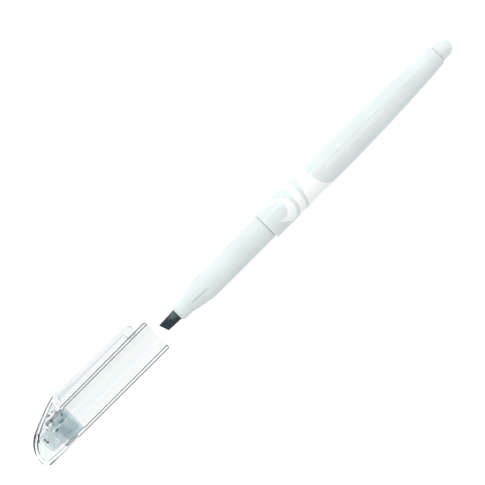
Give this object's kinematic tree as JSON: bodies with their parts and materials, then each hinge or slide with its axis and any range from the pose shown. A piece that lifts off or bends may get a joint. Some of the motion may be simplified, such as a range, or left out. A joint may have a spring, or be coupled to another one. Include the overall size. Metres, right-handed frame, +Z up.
{
  "type": "fabric marking pen",
  "caption": "Capped felt marking pen for fabric: tapered barrel with an eraser plug in its tail, grip section with a chisel nib, and a clear cap with a spring clip, shown off the nib.",
  "frame": {"origin": "on the surface that the pen lies on, under the middle of its whole length and width, cap off and in line in front of the nib", "axes": "+X along the pen's axis from the cap to the eraser, the way the cap moves to close; +Z up from the surface; the clip is on the +Y side, turned down until its edge touches the surface"},
  "size_m": [0.1871, 0.0156, 0.0116],
  "materials": {
    "body_plastic": "satin",
    "grip_plastic": "satin",
    "felt": "porous felt",
    "fibre": "fibre rod",
    "film": "film",
    "rubber": "translucent white rubber",
    "clear_plastic": "clear polished",
    "hazy_plastic": "translucent"
  },
  "bodies": {
    "pen": {"barrel": "body_plastic", "grip_section": "grip_plastic", "nib": "felt", "reservoir_core": "fibre", "reservoir_wrap": "film", "eraser": "rubber"},
    "cap": {"cap_tube": "clear_plastic", "cap_crown": "clear_plastic", "inner_cap": "hazy_plastic"},
    "clip_arm": {"clip": "clear_plastic"}
  },
  "joints": [
    {"name": "cap_slide", "type": "slide", "parent": "pen", "child": "cap", "axis": [1, 0, 0], "range_m": [0, 0.0489]},
    {"name": "clip_flex", "type": "hinge", "parent": "cap", "child": "clip_arm", "pos_m": [-0.07592, 0.00685, 0.00218], "axis": [0, 0.3774, 0.9261], "range_deg": [0, 5], "stiffness_Nm_per_rad": 1.5}
  ]
}
